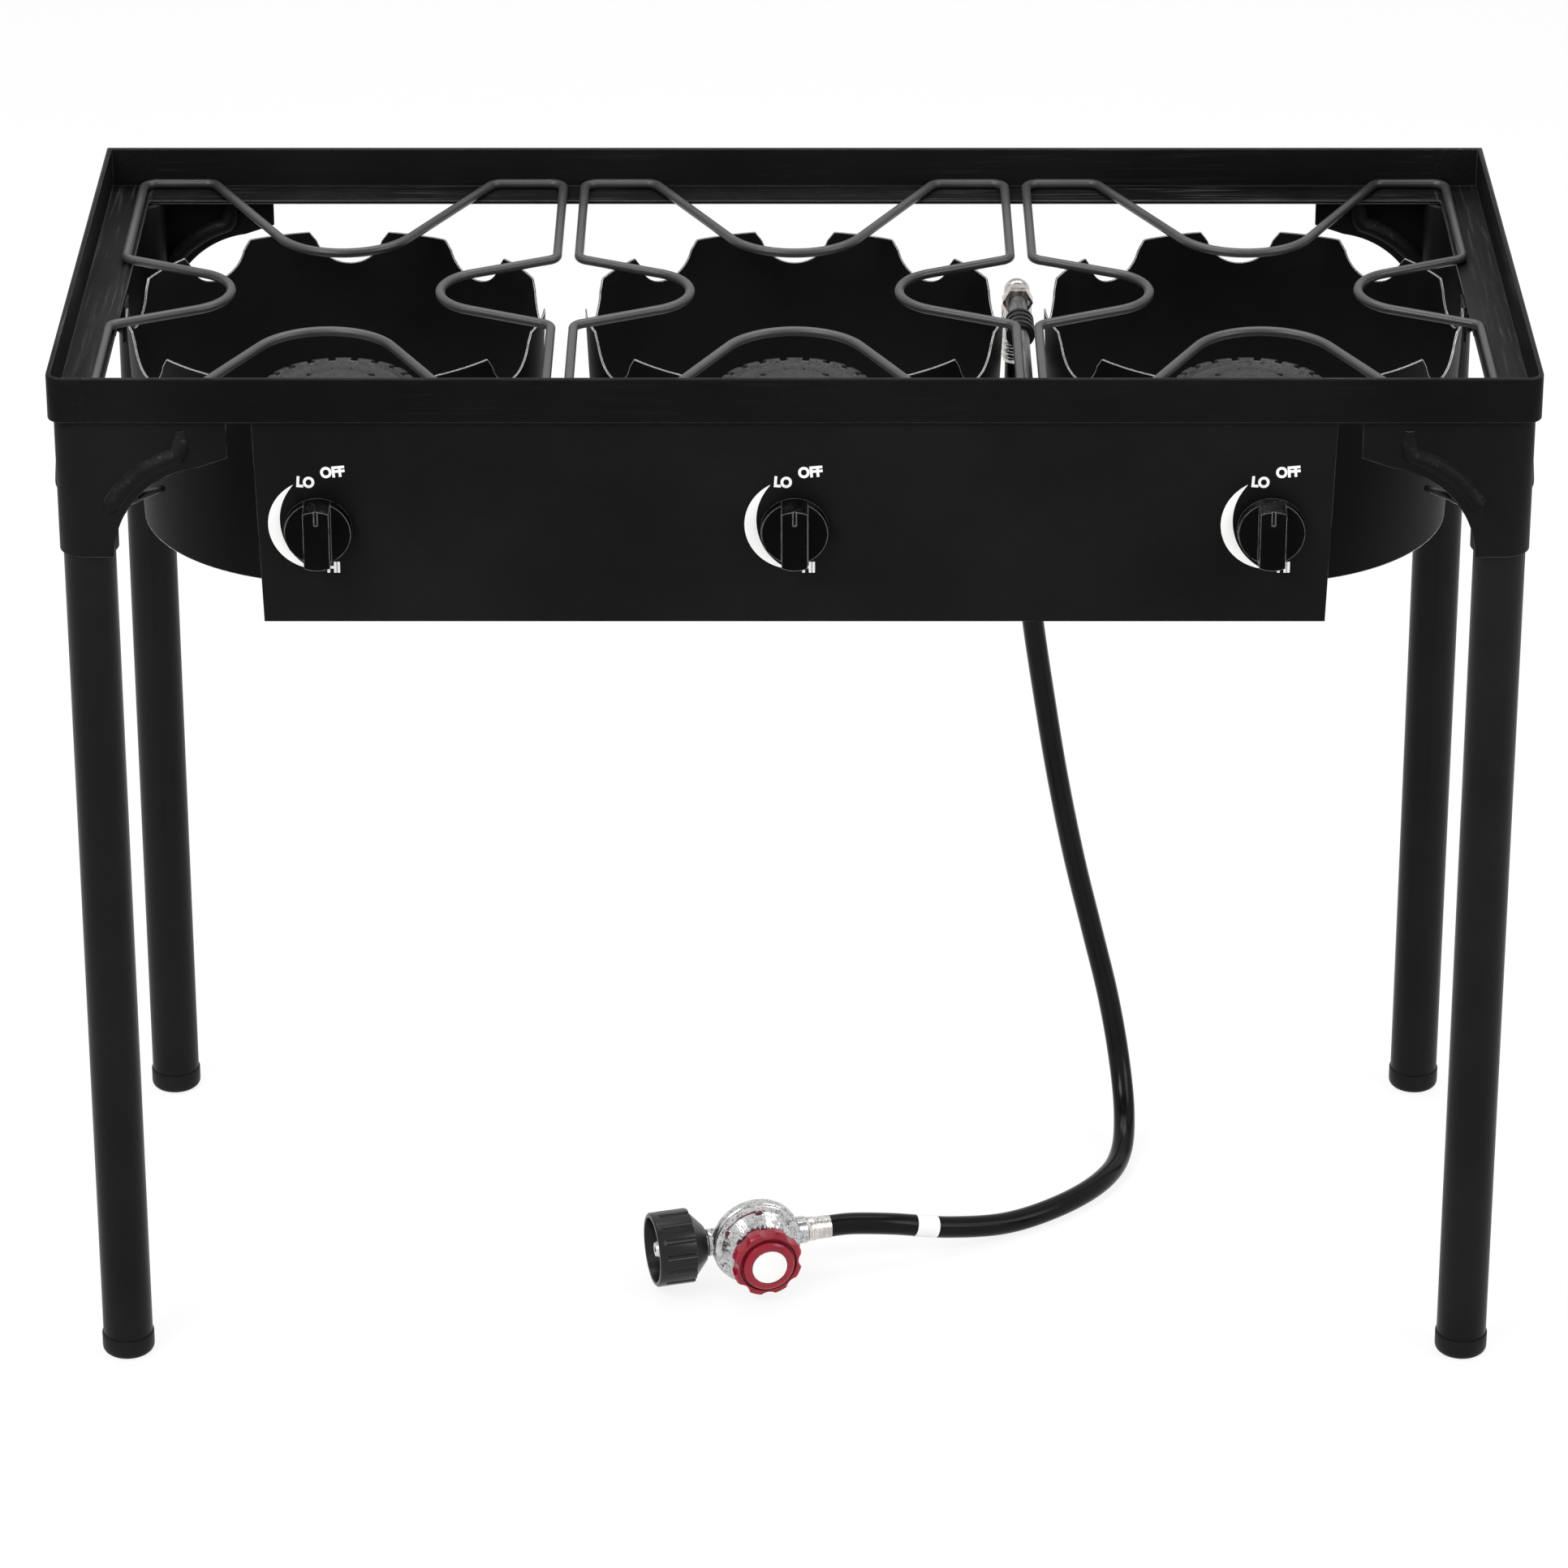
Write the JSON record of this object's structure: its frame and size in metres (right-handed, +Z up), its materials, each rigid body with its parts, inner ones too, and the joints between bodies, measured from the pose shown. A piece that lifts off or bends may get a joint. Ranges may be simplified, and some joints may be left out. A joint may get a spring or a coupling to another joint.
{
  "type": "propane burner stand",
  "caption": "Steel stand with gas burners side by side, wind guards, wire grates, a valve panel, plug-in legs and a regulator on a hose.",
  "frame": {"origin": "on the floor, under the middle of the stand's bounding box without the hose", "axes": "+X to the right along the stand's length, +Y to the back, +Z up; the knobs face -Y"},
  "size_m": [0.905, 0.414, 0.69],
  "materials": {
    "black_steel": "satin black paint",
    "guard_steel": "matte black paint",
    "bridge_steel": "matte black paint",
    "foot_rubber": "matte",
    "screw_steel": "satin black paint",
    "grate_wire": "satin",
    "burner_iron": "cast",
    "shutter_steel": "zinc plated",
    "brass": "machined",
    "stem_steel": "machined",
    "knob_plastic": "gloss",
    "supply_steel": "satin",
    "pipe_fitting": "satin black",
    "fitting_steel": "nickel plated",
    "hose_rubber": "gloss",
    "regulator_zinc": "die-cast",
    "red_plastic": "gloss",
    "badge_white": "satin",
    "nut_plastic": "matte"
  },
  "bodies": {
    "stand": {"top_frame": "black_steel", "front_panel": "black_steel", "guard_straps": "black_steel", "burner_bridges": "bridge_steel", "valve_bodies": "brass", "gas_jets": "brass", "manifold_pipe": "black_steel", "supply_pipe": "supply_steel", "pipe_coupling": "pipe_fitting", "inlet_elbow": "fitting_steel", "hose_ferrules": "fitting_steel", "gas_hose": "hose_rubber", "regulator_body": "regulator_zinc", "regulator_bonnet": "regulator_zinc", "inlet_probe": "brass", "leg_bracket_front_left": "black_steel", "leg_bracket_front_right": "black_steel", "leg_bracket_back_left": "black_steel", "leg_bracket_back_right": "black_steel", "wind_guard_left": "guard_steel", "burner_left": "burner_iron", "burner_cap_left": "burner_iron", "wind_guard_centre": "guard_steel", "burner_centre": "burner_iron", "burner_cap_centre": "burner_iron", "wind_guard_right": "guard_steel", "burner_right": "burner_iron", "burner_cap_right": "burner_iron"},
    "leg_front_left": {"leg_front_left": "black_steel", "foot_cap_front_left": "foot_rubber"},
    "leg_screw_front_left": {"leg_screw_front_left": "screw_steel"},
    "leg_front_right": {"leg_front_right": "black_steel", "foot_cap_front_right": "foot_rubber"},
    "leg_screw_front_right": {"leg_screw_front_right": "screw_steel"},
    "leg_back_left": {"leg_back_left": "black_steel", "foot_cap_back_left": "foot_rubber"},
    "leg_screw_back_left": {"leg_screw_back_left": "screw_steel"},
    "leg_back_right": {"leg_back_right": "black_steel", "foot_cap_back_right": "foot_rubber"},
    "leg_screw_back_right": {"leg_screw_back_right": "screw_steel"},
    "grate_left": {"grate_left": "grate_wire"},
    "grate_centre": {"grate_centre": "grate_wire"},
    "grate_right": {"grate_right": "grate_wire"},
    "air_shutter_left": {"air_shutter_left": "shutter_steel"},
    "air_shutter_centre": {"air_shutter_centre": "shutter_steel"},
    "air_shutter_right": {"air_shutter_right": "shutter_steel"},
    "valve_plug_left": {"valve_plug_left": "brass"},
    "knob_left": {"knob_left": "knob_plastic", "valve_stem_left": "stem_steel"},
    "valve_plug_centre": {"valve_plug_centre": "brass"},
    "knob_centre": {"knob_centre": "knob_plastic", "valve_stem_centre": "stem_steel"},
    "valve_plug_right": {"valve_plug_right": "brass"},
    "knob_right": {"knob_right": "knob_plastic", "valve_stem_right": "stem_steel"},
    "hose_nut": {"hose_nut": "fitting_steel"},
    "regulator_knob": {"regulator_knob": "red_plastic", "regulator_badge": "badge_white"},
    "cylinder_nut": {"cylinder_nut": "nut_plastic"}
  },
  "joints": [
    {"name": "leg_slide_front_left", "type": "slide", "parent": "stand", "child": "leg_front_left", "axis": [0, 0, -1], "range_m": [0, 0.1]},
    {"name": "screw_turn_front_left", "type": "hinge", "parent": "stand", "child": "leg_screw_front_left", "pos_m": [-0.432, -0.1675, 0.591], "axis": [0.7071, 0.7071, 0], "continuous": true},
    {"name": "leg_slide_front_right", "type": "slide", "parent": "stand", "child": "leg_front_right", "axis": [0, 0, -1], "range_m": [0, 0.1]},
    {"name": "screw_turn_front_right", "type": "hinge", "parent": "stand", "child": "leg_screw_front_right", "pos_m": [0.432, -0.1675, 0.591], "axis": [-0.7071, 0.7071, 0], "continuous": true},
    {"name": "leg_slide_back_left", "type": "slide", "parent": "stand", "child": "leg_back_left", "axis": [0, 0, -1], "range_m": [0, 0.1]},
    {"name": "screw_turn_back_left", "type": "hinge", "parent": "stand", "child": "leg_screw_back_left", "pos_m": [-0.432, 0.1865, 0.591], "axis": [0.7071, -0.7071, 0], "continuous": true},
    {"name": "leg_slide_back_right", "type": "slide", "parent": "stand", "child": "leg_back_right", "axis": [0, 0, -1], "range_m": [0, 0.1]},
    {"name": "screw_turn_back_right", "type": "hinge", "parent": "stand", "child": "leg_screw_back_right", "pos_m": [0.432, 0.1865, 0.591], "axis": [-0.7071, -0.7071, 0], "continuous": true},
    {"name": "grate_lift_left", "type": "slide", "parent": "stand", "child": "grate_left", "axis": [0, 0, 1], "range_m": [0, 0.12]},
    {"name": "grate_lift_centre", "type": "slide", "parent": "stand", "child": "grate_centre", "axis": [0, 0, 1], "range_m": [0, 0.12]},
    {"name": "grate_lift_right", "type": "slide", "parent": "stand", "child": "grate_right", "axis": [0, 0, 1], "range_m": [0, 0.12]},
    {"name": "shutter_turn_left", "type": "hinge", "parent": "stand", "child": "air_shutter_left", "pos_m": [-0.29, -0.127, 0.579], "axis": [0, 1, 0], "range_deg": [-45, 45]},
    {"name": "shutter_turn_centre", "type": "hinge", "parent": "stand", "child": "air_shutter_centre", "pos_m": [0, -0.127, 0.579], "axis": [0, 1, 0], "range_deg": [-45, 45]},
    {"name": "shutter_turn_right", "type": "hinge", "parent": "stand", "child": "air_shutter_right", "pos_m": [0.29, -0.127, 0.579], "axis": [0, 1, 0], "range_deg": [-45, 45]},
    {"name": "valve_turn_left", "type": "hinge", "parent": "stand", "child": "valve_plug_left", "pos_m": [-0.29, -0.172, 0.591], "axis": [0, -1, 0], "range_deg": [0, 180]},
    {"name": "knob_push_left", "type": "slide", "parent": "valve_plug_left", "child": "knob_left", "axis": [0, 1, 0], "range_m": [0, 0.003], "stiffness_N_per_m": 1500},
    {"name": "valve_turn_centre", "type": "hinge", "parent": "stand", "child": "valve_plug_centre", "pos_m": [0, -0.172, 0.591], "axis": [0, -1, 0], "range_deg": [0, 180]},
    {"name": "knob_push_centre", "type": "slide", "parent": "valve_plug_centre", "child": "knob_centre", "axis": [0, 1, 0], "range_m": [0, 0.003], "stiffness_N_per_m": 1500},
    {"name": "valve_turn_right", "type": "hinge", "parent": "stand", "child": "valve_plug_right", "pos_m": [0.29, -0.172, 0.591], "axis": [0, -1, 0], "range_deg": [0, 180]},
    {"name": "knob_push_right", "type": "slide", "parent": "valve_plug_right", "child": "knob_right", "axis": [0, 1, 0], "range_m": [0, 0.003], "stiffness_N_per_m": 1500},
    {"name": "hose_nut_turn", "type": "hinge", "parent": "stand", "child": "hose_nut", "pos_m": [0.145, 0.1355, 0.6], "axis": [0, 0, 1], "continuous": true},
    {"name": "regulator_turn", "type": "hinge", "parent": "stand", "child": "regulator_knob", "pos_m": [-0.027, -0.076, 0.03], "axis": [0.2588, -0.9659, 0], "range_deg": [0, 540]},
    {"name": "cylinder_nut_turn", "type": "hinge", "parent": "stand", "child": "cylinder_nut", "pos_m": [-0.027, -0.076, 0.03], "axis": [-0.9659, -0.2588, 0], "continuous": true}
  ]
}
